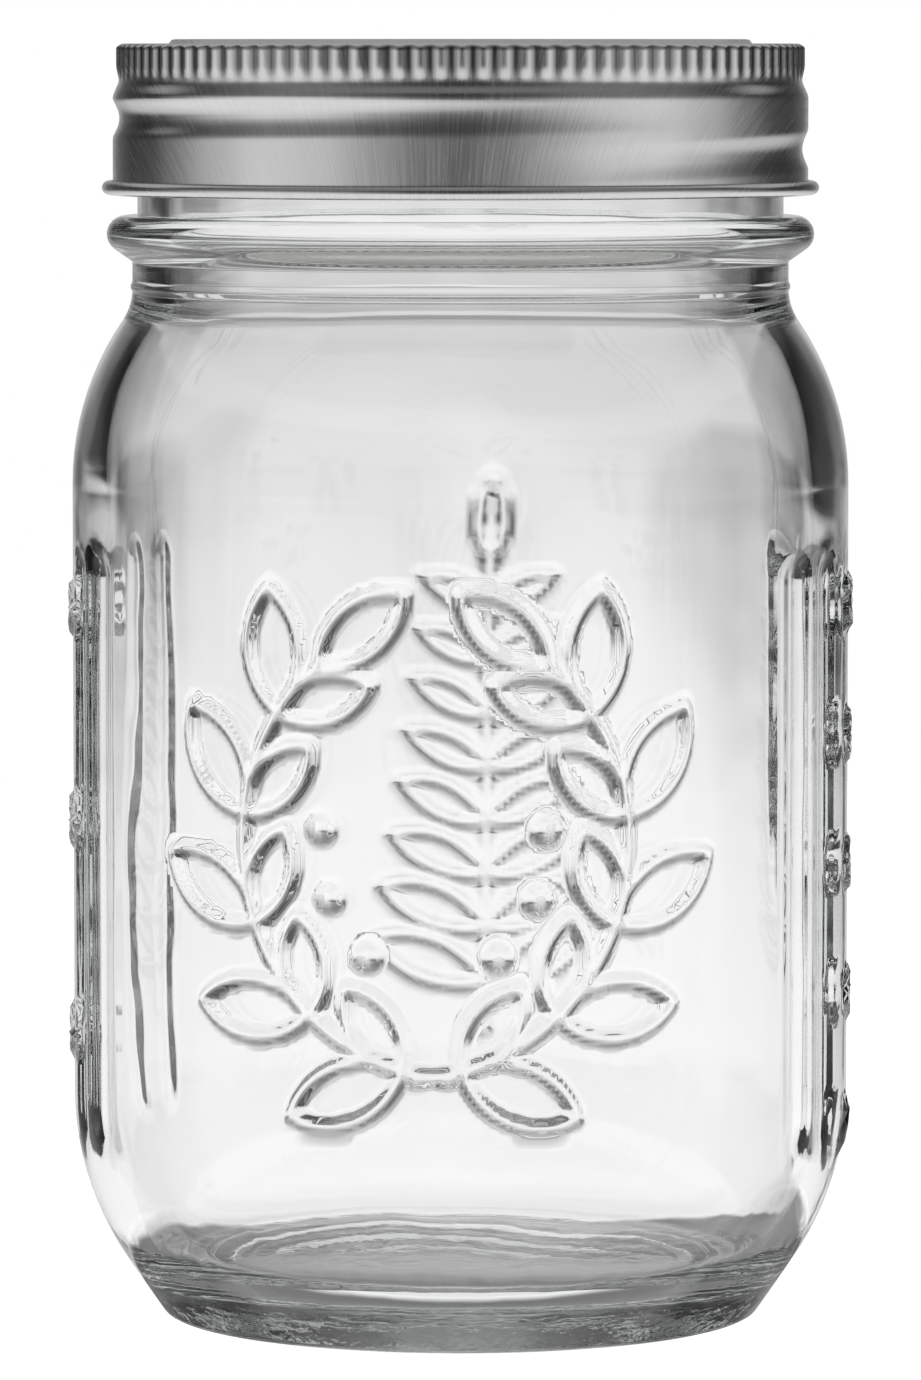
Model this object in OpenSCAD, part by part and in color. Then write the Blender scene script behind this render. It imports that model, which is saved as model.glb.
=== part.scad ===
// Mason jar with a two-part screw closure: moulded glass jar, flat lid disc with its
// bonded sealing ring, and rolled screw band. Millimetres, standing on z = 0, axis on Z.

/* [Glass body] */
// Outside diameter of the body
body_d = 81; // [76:0.5:90]
// Thickness of the side wall
wall = 3; // [2:0.1:4]
// Height of the straight side, between heel and shoulder
straight_h = 63.5; // [40:0.1:120]
// Height of the heel, from the table to the straight side
heel_h = 23.5; // [20:0.5:28]
// Radius of the curve that turns the side into the heel
heel_r = 31; // [24:0.5:36]
// Slope of the heel's cone, in degrees from upright
heel_slope = 34.5; // [25:0.5:42]
// Radius of the edge between the heel and the bearing ring
foot_r = 1.2; // [0.5:0.1:2.5]
// Width of the flat bearing ring that the jar stands on
bearing_w = 3; // [1.5:0.1:6]
// Height of the step inside the bearing ring
push_step = 1; // [0.5:0.1:2]
// Height of the hollow under the middle of the base
push_up = 2.6; // [2.2:0.1:4]
// Thickness of the base at its middle
base_t = 3.2; // [3:0.1:7]
// Radius of the inside corner between floor and wall
floor_corner_r = 10.8; // [8:0.1:14]

/* [Shoulder and neck] */
// How far the neck stands outside the glass between the threads
neck_step = 0.55; // [0.1:0.05:1]
// Radius of the shoulder's outward curve
shoulder_r = 30; // [24:0.5:40]
// Radius of the hollow curve between shoulder and neck
neck_curve_r = 6; // [4:0.1:12]
// Height of the plain neck, between shoulder and transfer bead
neck_h = 2.8; // [1:0.1:8]
// How far the transfer bead stands out from the glass between the threads
bead_reach = 3.2; // [2.5:0.1:4]
// Radius of the transfer bead's round edge
bead_r = 1.9; // [1.2:0.1:2.4]
// Slope of the transfer bead's underside, in degrees from level
bead_under = 35; // [10:1:50]

/* [Finish] */
// Diameter of the glass between the threads
finish_d = 67.3; // [65:0.1:69]
// Height from the top of the transfer bead to the rim
finish_h = 16.4; // [14:0.1:20]
// Thickness of the glass between the mouth and the foot of the threads
finish_wall = 3.45; // [2.8:0.05:5]
// Radius of the rim's two edges
rim_r = 1; // [0.4:0.1:1.3]
// Height of the thread that stands out from the finish
thread_h = 2; // [1.2:0.1:2.4]

/* [Side grips] */
// Flutes in each group, with a group on either side of the two side lines
flutes_per_group = 2; // [1:1:3]
// Angle from the side line to the nearest flute, in degrees
flute_first = 17; // [10:0.5:25]
// Angle from one flute to the next, in degrees
flute_step = 11; // [8:0.5:15]
// Width of a flute
flute_w = 4.5; // [2.5:0.1:5.5]
// Depth of a flute
flute_depth = 0.6; // [0.3:0.05:1]
// Length of a flute
flute_h = 61.6; // [20:0.1:64]
// Gap from a flute's upper end to the start of the shoulder
flute_gap = 6.6; // [0.5:0.1:12]

/* [Moulded leaves] */
// How far the leaves stand out from the wall
relief_h = 0.7; // [0.4:0.05:1]
// Width of the raised lines that draw the leaves
relief_w = 1.6; // [1:0.1:2.2]
// Height of the leaves' middle, as a share of the straight side
relief_share = 0.46; // [0.42:0.01:0.54]
// Pairs of leaves on each branch of the front wreath
wreath_pairs = 5; // [3:1:5]
// Pairs of leaves on the frond at the back
frond_pairs = 8; // [4:1:8]

/* [Lid disc] */
// Thickness of the disc's tinplate
disc_t = 0.25; // [0.2:0.01:0.5]
// How far the disc reaches past the outside of the finish
disc_reach = 0.5; // [0.4:0.05:0.8]
// Height of the disc's turned-down edge
disc_edge_h = 1.2; // [0.6:0.1:2]
// How far the raised panel's edge stands inside the mouth
panel_inset = 0.2; // [0:0.05:2]
// Height of the raised panel above the disc's outer ring
panel_rise = 0.75; // [0.5:0.05:1.5]
// Width of the slope up to the raised panel
panel_slope_w = 0.6; // [0.4:0.1:1.2]
// Diameter of the button that is drawn down in the panel's middle
button_d = 26; // [16:1:40]
// Depth of the drawn-down button
button_depth = 0.5; // [0.2:0.05:0.8]

/* [Sealing ring] */
// Thickness of the sealing compound
seal_t = 0.9; // [0.6:0.05:1.5]
// Room beside the compound in the disc's channel
seal_room = 0.2; // [0.1:0.05:0.4]
// Radius of the compound's lower edges
seal_edge_r = 0.25; // [0.1:0.05:0.4]

/* [Screw band] */
// Thickness of the band's tinplate
band_t = 0.3; // [0.25:0.01:0.5]
// Clearance between the thread's crest and the band
band_room = 0.25; // [0.15:0.05:0.5]
// Gap from the band's lower edge to the transfer bead
band_gap = 2.2; // [1:0.1:5]
// Clearance between the raised panel and the hole in the band
hole_room = 0.3; // [0.2:0.05:1]
// Radius of the band's upper edge
band_edge_r = 0.7; // [0.6:0.05:1.5]
// How far the knurled wall stands inside the plain wall below it
knurl_inset = 0.65; // [0.4:0.05:0.8]
// Number of knurl ridges
knurl_count = 105; // [60:1:120]
// Height of the knurl ridges
knurl_h = 3; // [2:0.1:5]
// Height of the flare from the knurled wall out to the plain wall
flare_h = 2; // [0.6:0.1:3]
// How far a knurl ridge stands out
knurl_depth = 0.35; // [0.15:0.05:0.5]
// Outside diameter of the curl along the band's lower edge
curl_d = 1.44; // [1.2:0.02:2]

/* [Hidden] */
$fn = 96;

// Largest turn between two points of an arc, in degrees
arc_step = 5;
// How far a cutter runs past the face that it opens
overcut = 1;

// Heel and base
body_r = body_d / 2;
heel_c = [body_r - heel_r, heel_h];
heel_low = heel_c + heel_r * [cos(heel_slope), -sin(heel_slope)];
bearing_out_r = heel_low.x - (heel_low.y - foot_r * (1 - sin(heel_slope))) * tan(heel_slope)
    - foot_r * cos(heel_slope);
bearing_in_r = bearing_out_r - bearing_w;
push_r = bearing_in_r - push_step;
push_dome = push_up - push_step;
push_dome_r = (pow(push_r, 2) + pow(push_dome, 2)) / (2 * push_dome);
floor_z = push_up + base_t;
inside_r = body_r - wall;

// Shoulder and neck
finish_r = finish_d / 2;
neck_r = finish_r + neck_step;
mouth_r = finish_r - finish_wall;
shoulder_z = heel_h + straight_h;
shoulder_c_r = body_r - shoulder_r;
shoulder_radii = shoulder_r + neck_curve_r;
shoulder_turn = acos(1 - (body_r - neck_r) / shoulder_radii);
neck_z = shoulder_z + shoulder_radii * sin(shoulder_turn);
inside_turn = acos(1 - (inside_r - mouth_r) / shoulder_radii);
inside_neck_z = shoulder_z + shoulder_radii * sin(inside_turn);

// Transfer bead and finish
bead_c_r = finish_r + bead_reach - bead_r;
bead_flank_r = bead_c_r + bead_r * sin(bead_under);
bead_low_z = neck_z + neck_h;
bead_z = bead_low_z + (bead_flank_r - neck_r) * tan(bead_under) + bead_r * cos(bead_under);
bead_top_z = bead_z + bead_r;
rim_z = bead_top_z + finish_h;

// Side grips: the cutter is a round-ended bar that bites into the wall
flute_r = (pow(flute_w / 2, 2) + pow(flute_depth, 2)) / (2 * flute_depth);
flute_c_r = body_r - flute_depth + flute_r;
flute_low_z = shoulder_z - flute_gap - flute_h;
flute_end = flute_w / 2;

// Moulded leaves, sized to stay on the straight side and clear of the grips
relief_size = min(straight_h, 0.8 * body_d);
relief_z = heel_h + relief_share * straight_h;
relief_from = 0.85 * body_r;
relief_to = 1.1 * body_r;
leaf_fn = 32;

// Wreath: two bent branches, with outer and inner leaves, tip leaves and berries
leaf_l = 0.2 * relief_size;
inner_leaf_l = 0.8 * leaf_l;
tip_leaf_l = 0.9 * leaf_l;
wreath_slim = 0.46;
leaf_lean = 39;
branch_r = 0.37 * relief_size;
branch_shift = 0.055 * relief_size;
branch_turn = [-86, 50];
leaf_turn = [-74, 34];
berry_turns = [-48, -21, 6];
berry_r = 0.64 * branch_r;

// Frond: an upright stem with nearly level leaves, from the lowest pair to the highest
frond_z = [-0.44 * relief_size, 0.38 * relief_size];
frond_leaf_z = [-0.36 * relief_size, 0.3 * relief_size];
frond_leaf_l = [1.1 * leaf_l, 0.6 * leaf_l];
frond_tip_l = 0.7 * leaf_l;
frond_slim = 0.3;
frond_lean = 66;

// Lid disc
disc_r = finish_r + disc_reach;
disc_low_z = rim_z + seal_t;
disc_top_z = disc_low_z + disc_t;
panel_r = mouth_r - panel_inset;
panel_foot_r = panel_r + panel_slope_w;
panel_z = disc_top_z + panel_rise;
panel_bend = disc_t * tan(atan2(panel_rise, panel_slope_w) / 2);
button_r = button_d / 2;
button_dish_r = (pow(button_r, 2) + pow(button_depth, 2)) / (2 * button_depth);
button_half = asin(button_r / button_dish_r);

// Sealing ring
seal_in_r = panel_foot_r + seal_room;
seal_out_r = disc_r - disc_t - seal_room;

// Screw band
band_in_r = finish_r + thread_h + band_room;
band_out_r = band_in_r + band_t;
band_top_z = disc_top_z + band_t;
band_low_z = bead_top_z + band_gap;
hole_r = panel_foot_r + hole_room;
knurl_out_r = band_out_r - knurl_inset;
knurl_in_r = knurl_out_r - band_t;
knurl_top_z = band_top_z - band_edge_r;
knurl_low_z = knurl_top_z - knurl_h;
step_low_z = knurl_low_z - flare_h;
step_bend = band_t * tan(atan2(knurl_inset, flare_h) / 2);
ridge_points = 6;
ridge_root = band_t / 3;
curl_r = curl_d / 2;
curl_c = [band_in_r + curl_r, band_low_z + curl_r];
curl_end = 470;

// Points of an arc about c, from angle a0 to angle a1
function arc(c, r, a0, a1) =
    let (n = max(2, ceil(abs(a1 - a0) / arc_step)))
    [for (i = [0 : n]) let (a = a0 + (a1 - a0) * i / n) c + r * [cos(a), sin(a)]];

// The outline without points that repeat the one before
function distinct(p) =
    [for (i = [0 : len(p) - 1]) if (i == 0 || norm(p[i] - p[max(0, i - 1)]) > 0.001) p[i]];

// Solid of revolution of the glass, as if the jar were not hollow
module jar_outside() {
    rotate_extrude() polygon(distinct(concat(
        arc([0, push_up - push_dome_r], push_dome_r, 90, acos(push_r / push_dome_r)),
        [[bearing_in_r, 0]],
        arc([bearing_out_r, foot_r], foot_r, -90, -heel_slope),
        arc(heel_c, heel_r, -heel_slope, 0),
        arc([shoulder_c_r, shoulder_z], shoulder_r, 0, shoulder_turn),
        arc([neck_r + neck_curve_r, neck_z], neck_curve_r, 180 + shoulder_turn, 180),
        [[neck_r, bead_low_z]],
        arc([bead_c_r, bead_z], bead_r, bead_under - 90, 90),
        [[finish_r, bead_top_z]],
        arc([finish_r - rim_r, rim_z - rim_r], rim_r, 0, 90),
        [[0, rim_z]]
    )));
}

// The room inside the jar, open through the mouth
module jar_inside() {
    rotate_extrude() polygon(distinct(concat(
        [[0, floor_z]],
        arc([inside_r - floor_corner_r, floor_z + floor_corner_r], floor_corner_r, -90, 0),
        arc([shoulder_c_r, shoulder_z], shoulder_r - wall, 0, inside_turn),
        arc([mouth_r + neck_curve_r + wall, inside_neck_z], neck_curve_r + wall,
            180 + inside_turn, 180),
        arc([mouth_r + rim_r, rim_z - rim_r], rim_r, 180, 90),
        [[mouth_r + rim_r, rim_z + overcut], [0, rim_z + overcut]]
    )));
}

// Round-ended bar that cuts one grip flute, so that the flute's ends are half circles
module flute_bar() {
    translate([0, 0, flute_end]) {
        cylinder(r = flute_r, h = flute_h - 2 * flute_end);
        sphere(r = flute_r);
        translate([0, 0, flute_h - 2 * flute_end]) sphere(r = flute_r);
    }
}

module side_flutes() {
    for (side = [0, 180], hand = [-1, 1], i = [0 : flutes_per_group - 1])
        rotate([0, 0, side + hand * (flute_first + i * flute_step)])
            translate([flute_c_r, 0, flute_low_z]) flute_bar();
}

// Stands a flat shape on the front wall, at p along the wall and above the leaves' middle
module on_wall(p, turn = 0) {
    rotate([0, 0, p.x / body_r * 180 / PI])
        translate([0, 0, relief_z + p.y])
            rotate([90, 0, 0])
                translate([0, 0, relief_from])
                    linear_extrude(height = relief_to - relief_from) rotate(turn) children();
}

// Pointed oval between two circles of radius r whose centres are 2 * off apart
module lens(r, off) {
    intersection() {
        translate([0, off]) circle(r = r, $fn = leaf_fn);
        translate([0, -off]) circle(r = r, $fn = leaf_fn);
    }
}

// Raised outline of one leaf of length l and width slim * l, from its root in the direction turn
module leaf(root, turn, l, slim) {
    sag = slim * l / 2;
    r = (pow(l / 2, 2) + pow(sag, 2)) / (2 * sag);
    on_wall(root + l / 2 * [cos(turn), sin(turn)], turn)
        difference() {
            lens(r + relief_w / 2, r - sag);
            lens(r - relief_w / 2, r - sag);
        }
}

// Right-hand branch of the wreath: a bent stem with leaves in pairs and berries inside it
module branch() {
    centre = [-branch_shift, 0];
    middle = branch_r / 2 - branch_shift;
    on_wall([middle, 0]) translate(centre - [middle, 0])
        intersection() {
            difference() {
                circle(r = branch_r + relief_w / 2);
                circle(r = branch_r - relief_w / 2);
            }
            polygon(concat([[0, 0]], [for (t = [branch_turn[0], 0, branch_turn[1]])
                2 * branch_r * [cos(t), sin(t)]]));
        }
    for (i = [0 : wreath_pairs - 1]) {
        t = leaf_turn[0] + (leaf_turn[1] - leaf_turn[0]) * i / (wreath_pairs - 1);
        root = centre + branch_r * [cos(t), sin(t)];
        leaf(root, t + 90 - leaf_lean, leaf_l, wreath_slim);
        leaf(root, t + 90 + leaf_lean, inner_leaf_l, wreath_slim);
    }
    leaf(centre + branch_r * [cos(branch_turn[1]), sin(branch_turn[1])], branch_turn[1] + 90,
        tip_leaf_l, wreath_slim);
    for (t = berry_turns)
        on_wall(centre + berry_r * [cos(t), sin(t)]) circle(d = 2 * relief_w, $fn = leaf_fn);
}

// Upright stem with leaves in pairs that shorten towards the tip
module frond() {
    on_wall([0, frond_z[0]]) translate([-relief_w / 2, 0]) square([relief_w, frond_z[1] - frond_z[0]]);
    for (i = [0 : frond_pairs - 1], hand = [-1, 1]) {
        up = i / (frond_pairs - 1);
        leaf([0, frond_leaf_z[0] + (frond_leaf_z[1] - frond_leaf_z[0]) * up], 90 + hand * frond_lean,
            frond_leaf_l[0] + (frond_leaf_l[1] - frond_leaf_l[0]) * up, frond_slim);
    }
    leaf([0, frond_z[1]], 90, frond_tip_l, frond_slim);
}

// Wreath and frond, from the middle of the wall out to one height above it
module moulded_leaves() {
    intersection() {
        translate([0, 0, heel_h])
            difference() {
                cylinder(r = body_r + relief_h, h = straight_h);
                cylinder(r = body_r - wall / 2, h = straight_h);
            }
        union() {
            for (side = [0, 1]) mirror([side, 0, 0]) branch();
            rotate([0, 0, 180]) frond();
        }
    }
}

module glass_jar() {
    color([0.86, 0.9, 0.89, 0.4])
        difference() {
            union() {
                jar_outside();
                moulded_leaves();
            }
            jar_inside();
            side_flutes();
        }
}

// Tinplate disc: drawn-down button, raised panel, outer ring and turned-down edge
module lid_disc() {
    dish_top = [0, panel_z - button_depth + button_dish_r];
    dish_low = dish_top - [0, disc_t];
    color([0.83, 0.83, 0.82])
        rotate_extrude() polygon(concat(
            arc(dish_top, button_dish_r, -90, button_half - 90),
            [
                [panel_r, panel_z],
                [panel_foot_r, disc_top_z],
                [disc_r, disc_top_z],
                [disc_r, disc_top_z - disc_edge_h],
                [disc_r - disc_t, disc_top_z - disc_edge_h],
                [disc_r - disc_t, disc_low_z],
                [panel_foot_r - panel_bend, disc_low_z],
                [panel_r - panel_bend, panel_z - disc_t]
            ],
            arc(dish_low, button_dish_r, button_half - 90, -90)
        ));
}

// Sealing compound between the disc's outer ring and the glass rim
module sealing_ring() {
    color([0.42, 0.42, 0.43])
        rotate_extrude() polygon(concat(
            [[seal_out_r, disc_low_z], [seal_in_r, disc_low_z]],
            arc([seal_in_r + seal_edge_r, rim_z + seal_edge_r], seal_edge_r, 180, 270),
            arc([seal_out_r - seal_edge_r, rim_z + seal_edge_r], seal_edge_r, -90, 0)
        ));
}

// Rolled sheet of the band: top flange, upper wall, step, plain wall and curled lower edge
module band_sheet() {
    edge_c = [knurl_out_r - band_edge_r, knurl_top_z];
    rotate_extrude() polygon(concat(
        [[hole_r, band_top_z]],
        arc(edge_c, band_edge_r, 90, 0),
        [[knurl_out_r, knurl_low_z], [band_out_r, step_low_z]],
        arc(curl_c, curl_r - band_t, 180, curl_end),
        arc(curl_c, curl_r, curl_end, 180),
        [[band_in_r, step_low_z - step_bend], [knurl_in_r, knurl_low_z - step_bend]],
        arc(edge_c, band_edge_r - band_t, 0, 90),
        [[hole_r, band_top_z - band_t]]
    ));
}

// Ring of upright ridges round the upper wall, rooted in the sheet
module knurl() {
    root_r = knurl_out_r - ridge_root;
    ridge_h = knurl_depth + ridge_root;
    wave = [for (i = [0 : knurl_count * ridge_points - 1])
        let (a = i * 360 / (knurl_count * ridge_points))
        (root_r + ridge_h * (1 + cos(a * knurl_count)) / 2) * [cos(a), sin(a)]];
    translate([0, 0, knurl_low_z])
        linear_extrude(height = knurl_h)
            difference() {
                polygon(wave);
                circle(r = knurl_in_r + band_t / 2);
            }
}

module screw_band() {
    color([0.78, 0.79, 0.8])
        union() {
            band_sheet();
            knurl();
        }
}

glass_jar();
lid_disc();
sealing_ring();
screw_band();
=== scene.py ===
"""Looks of a mason jar: moulded glass, tinplate lid disc with its sealing ring, and rolled screw band."""
import math

import bmesh
import bpy
import numpy as np
from mathutils import Matrix, Vector


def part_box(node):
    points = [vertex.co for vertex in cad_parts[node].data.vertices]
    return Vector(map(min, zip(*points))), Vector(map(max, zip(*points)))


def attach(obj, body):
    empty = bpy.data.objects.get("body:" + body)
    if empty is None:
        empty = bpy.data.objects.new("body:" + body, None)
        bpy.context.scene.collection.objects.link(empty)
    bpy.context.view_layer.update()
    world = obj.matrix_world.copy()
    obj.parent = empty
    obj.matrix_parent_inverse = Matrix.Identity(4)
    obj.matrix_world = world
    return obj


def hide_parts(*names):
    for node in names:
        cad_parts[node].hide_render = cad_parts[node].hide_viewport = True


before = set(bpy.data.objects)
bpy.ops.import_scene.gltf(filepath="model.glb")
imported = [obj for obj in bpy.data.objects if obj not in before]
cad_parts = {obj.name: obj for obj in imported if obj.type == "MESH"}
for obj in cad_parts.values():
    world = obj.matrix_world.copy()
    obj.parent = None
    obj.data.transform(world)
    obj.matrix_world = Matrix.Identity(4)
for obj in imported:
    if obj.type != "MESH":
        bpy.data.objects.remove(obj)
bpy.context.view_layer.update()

MM = 0.001
# A spun shape is made as this many equal sectors
SECTORS = 6

# Sizes that the frame gives
jar_box, disc_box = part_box("glass_jar"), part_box("lid_disc")
seal_box, band_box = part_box("sealing_ring"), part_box("screw_band")
BODY_R = jar_box[1][0]
RIM_Z = jar_box[1][2]
DISC_R = disc_box[1][0]
PANEL_Z = disc_box[1][2]
SEAL_OUT_R = seal_box[1][0]
DISC_LOW_Z = seal_box[1][2]
CURL_OUT_R = band_box[1][0]
BAND_LOW_Z, BAND_TOP_Z = band_box[0][2], band_box[1][2]

# Glass: the same outline as the solid, taken from the frame's outer sizes
WALL = 3.0 * MM
HEEL_H = 23.5 * MM
HEEL_R = 31.0 * MM
HEEL_SLOPE = 34.5
FOOT_R = 1.2 * MM
BEARING_W = 3.0 * MM
PUSH_STEP = 1.0 * MM
PUSH_UP = 2.6 * MM
BASE_T = 3.2 * MM
FLOOR_CORNER_R = 8.0 * MM
SHOULDER_R = 30.0 * MM
NECK_CURVE_R = 6.0 * MM
NECK_H = 2.8 * MM
NECK_STEP = 0.55 * MM
BEAD_REACH = 3.2 * MM
BEAD_R = 1.9 * MM
BEAD_UNDER = 35.0
FINISH_H = 16.4 * MM
FINISH_WALL = 3.45 * MM
RIM_R = 1.0 * MM
DISC_REACH = 0.5 * MM

FINISH_R = DISC_R - DISC_REACH
MOUTH_R = FINISH_R - FINISH_WALL
NECK_R = FINISH_R + NECK_STEP
INSIDE_R = BODY_R - WALL
BEAD_TOP_Z = RIM_Z - FINISH_H
BEAD_Z = BEAD_TOP_Z - BEAD_R
BEAD_C_R = FINISH_R + BEAD_REACH - BEAD_R
BEAD_FLANK_R = BEAD_C_R + BEAD_R * math.sin(math.radians(BEAD_UNDER))
BEAD_LOW_Z = (BEAD_Z - BEAD_R * math.cos(math.radians(BEAD_UNDER))
              - (BEAD_FLANK_R - NECK_R) * math.tan(math.radians(BEAD_UNDER)))
NECK_Z = BEAD_LOW_Z - NECK_H
SHOULDER_RADII = SHOULDER_R + NECK_CURVE_R
SHOULDER_TURN = math.degrees(math.acos(1 - (BODY_R - NECK_R) / SHOULDER_RADII))
INSIDE_TURN = math.degrees(math.acos(1 - (INSIDE_R - MOUTH_R) / SHOULDER_RADII))
SHOULDER_Z = NECK_Z - SHOULDER_RADII * math.sin(math.radians(SHOULDER_TURN))
INSIDE_NECK_Z = SHOULDER_Z + SHOULDER_RADII * math.sin(math.radians(INSIDE_TURN))
FLOOR_Z = PUSH_UP + BASE_T

# Side grips: two flutes on either side of each side line
FLUTE_ANGLES = [side + hand * angle for side in (0, 180) for hand in (-1, 1) for angle in (17, 28)]
FLUTE_W = 4.5 * MM
FLUTE_DEPTH = 0.6 * MM
FLUTE_SOFT = 0.28 * MM
FLUTE_H = 61.6 * MM
FLUTE_GAP = 6.6 * MM
FLUTE_R = (FLUTE_W ** 2 / 4 + FLUTE_DEPTH ** 2) / (2 * FLUTE_DEPTH)
FLUTE_TOP_Z = SHOULDER_Z - FLUTE_GAP

# Threads: the ridge on the glass lies on top of the groove that is rolled into the band.
# Spans and fades are in degrees; past the first angle of its levels a thread climbs by the second's share.
PITCH = 6.35 * MM
GROOVE_SIDE_Z = BAND_LOW_Z + 4.7 * MM
GROOVE_SPAN = (-85.0, 335.0)
GROOVE_FADES = (110.0, 155.0)
GROOVE_LEVELS = (180.0, 0.38)
GROOVE_DEPTH = 0.7 * MM
GROOVE_HALF = 2.1 * MM
THREAD_LIFT = 2.1 * MM
THREAD_SPAN = (-235.0, 140.0)
THREAD_FADES = (24.0, 24.0)
THREAD_LEVELS = (THREAD_SPAN[1], 1.0)
THREAD_FULL = 1.3
THREAD_H = 2.0 * MM
THREAD_HALF = 1.5 * MM

# Screw band: the knurl runs out over its lower end, and its slots get painted shade, a darker tone where
# deep slots shade each other
BAND_T = 0.3 * MM
BAND_EDGE_R = 0.45 * MM
KNURL_COUNT = 105
KNURL_STEPS = 6
KNURL_INSET = 0.65 * MM
KNURL_H = 3.25 * MM
FLARE_H = 2.0 * MM
KNURL_DEPTH = 0.28 * MM
KNURL_FADE = 1.8 * MM
KNURL_RUN_OUT = 0.3 * MM
KNURL_TOP_FADE = 0.4 * MM
SLOT_SHADE_EDGE = 0.45
SLOT_SHADE_SOFT = 0.4
SLOT_PAINTED_SHADE = 0.85
GROOVE_CLEAR = 0.6 * MM
CURL_R = 0.72 * MM
BAND_IN_R = CURL_OUT_R - 2 * CURL_R
BAND_OUT_R = BAND_IN_R + BAND_T
PANEL_INSET = 0.2 * MM
PANEL_SLOPE_W = 0.6 * MM
HOLE_ROOM = 0.3 * MM
PANEL_R = MOUTH_R - PANEL_INSET
PANEL_FOOT_R = PANEL_R + PANEL_SLOPE_W
HOLE_R = PANEL_FOOT_R + HOLE_ROOM
KNURL_OUT_R = BAND_OUT_R - KNURL_INSET
KNURL_TOP_Z = BAND_TOP_Z - BAND_EDGE_R
KNURL_LOW_Z = KNURL_TOP_Z - KNURL_H

# Lid disc and seal
DISC_T = 0.25 * MM
DISC_TOP_Z = DISC_LOW_Z + DISC_T
DISC_EDGE_H = 1.2 * MM
BUTTON_R = 13.0 * MM
BUTTON_DEPTH = 0.5 * MM
SEAL_EDGE_R = 0.25 * MM
SEAL_ROOM = 0.2 * MM
SEAL_STEPS = 192
DISC_STEPS = 252
SOFT_BEND = 0.3 * MM
SOFT_DROP = 0.06 * MM
SOFT_IN = 0.04 * MM

# Slow waves of the inner face: share, waves round the jar, start, and turn a metre of height
WAVE_H = 0.1 * MM
WAVES = ((1.0, 3, 1.1, 35), (0.7, 5, -0.6, -60), (0.4, 9, 2.0, 110))
WAVE_START = 10 * MM
WAVE_END_Z = SHOULDER_Z + 16 * MM
WAVE_FADE = 12 * MM

# Uneven glass low down: waves a metre, full below and gone above these heights, share of the chill waves
CHILL = 90.0
UNEVEN = ((260, 6 * MM, 15 * MM, 1.3), (1100, 2 * MM, 4 * MM, 0.6))

# Drawn lines of the tinplate: lines a metre across and along the sheet, and the height of their relief.
# The noise that draws them lies mostly in one range, and is turned into changes of roughness and tone.
GRAIN = (3400, 110, 1)
GRAIN_H = 0.06 * MM
NOISE_RANGE = (0.3, 0.7)
STREAK_ROUGH = (-0.07, 0.07)
PATCH_ROUGH = (-0.03, 0.05)
STREAK_TONE = (0.9, 1.0)

# Moulded leaves, laid out as on the solid, and the numbers of the scales
STRAIGHT_H = SHOULDER_Z - HEEL_H
RELIEF_SIZE = min(STRAIGHT_H, 1.6 * BODY_R)
RELIEF_Z = HEEL_H + 0.46 * STRAIGHT_H
STROKE_HALF = 0.95 * MM
STROKE_H = 0.8 * MM
LEAF_HALF = 0.85 * STROKE_HALF
BERRY_HALF = 1.8 * STROKE_HALF
BERRY_H = 1.1 * STROKE_H
LEAF_L = 0.2 * RELIEF_SIZE
INNER_LEAF_L = 0.8 * LEAF_L
TIP_LEAF_L = 0.9 * LEAF_L
WREATH_PAIRS = 5
WREATH_SLIM = 0.46
LEAF_LEAN = 39
BRANCH_R = 0.37 * RELIEF_SIZE
BRANCH_SHIFT = 0.055 * RELIEF_SIZE
BRANCH_TURN = (-86, 50)
LEAF_TURN = (-74, 34)
BERRY_TURNS = (-48, -21, 6)
BERRY_R = 0.64 * BRANCH_R
FROND_PAIRS = 8
FROND_Z = (-0.44 * RELIEF_SIZE, 0.38 * RELIEF_SIZE)
FROND_LEAF_Z = (-0.36 * RELIEF_SIZE, 0.3 * RELIEF_SIZE)
FROND_LEAF_L = (1.1 * LEAF_L, 0.6 * LEAF_L)
FROND_TIP_L = 0.7 * LEAF_L
FROND_SLIM = 0.3
FROND_LEAN = 66
DIGIT_H = 4.8 * MM
DIGIT_HALF = 0.62 * MM
DIGIT_LIFT = 0.55 * MM
DIGIT_PITCH = 0.85
DIGIT_INSET = 0.125
TICK_REACH = 2 * MM
TICK_HALF = 0.6 * MM
RIGHT_SCALE = {"first_z": 20.6 * MM, "step_z": 13.55 * MM, "labels": ("2", "4", "6", "8", "10"),
               "tick_u": 5.5 * MM, "number_u": -3 * MM}
LEFT_SCALE = {"first_z": 29.6 * MM, "step_z": 22.2 * MM, "labels": ("100", "200", "300"),
              "tick_u": 7.5 * MM, "number_u": -1.5 * MM}
FRONT, RIGHT, BACK, LEFT = -90.0, 0.0, 90.0, 180.0
# Half width and lower end of the wall that a relief may cover
PANEL_HALF = 36 * MM
PANEL_LOW_Z = 8 * MM
# Degrees and steps of the wall's sectors: right, gap, back, gap, left, gap, front, gap
WALL_START = -35.0
WALL_STEPS = [(70, 82), (7, 4), (96, 90), (7, 4), (70, 82), (7, 4), (96, 162), (7, 4)]
# Steps of the outer face to one step of the inner face
INNER_RATIO = 3

# Ring where the parts of the mould meet, round the neck
PARTING_Z = NECK_Z + 0.2 * MM
PARTING_H = 0.2 * MM
PARTING_HALF = 0.5 * MM
PARTING_WANDER = 0.06 * MM

# Lit table, and a painted shadow of the jar on it, an ellipse: brightness at shares of its longer radius
TABLE_R = 0.62
SHADE_R = 62 * MM
SHADE = [(0, 0.42), (1, 1.0), (0.3, 0.36), (0.58, 0.19), (0.88, 0.12)]
SHADE_LIFT = -0.05 * MM
SHADE_DEEP = 0.452
SHADE_SHIFT = 8 * MM
SHADE_TURN = 9.5

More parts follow.
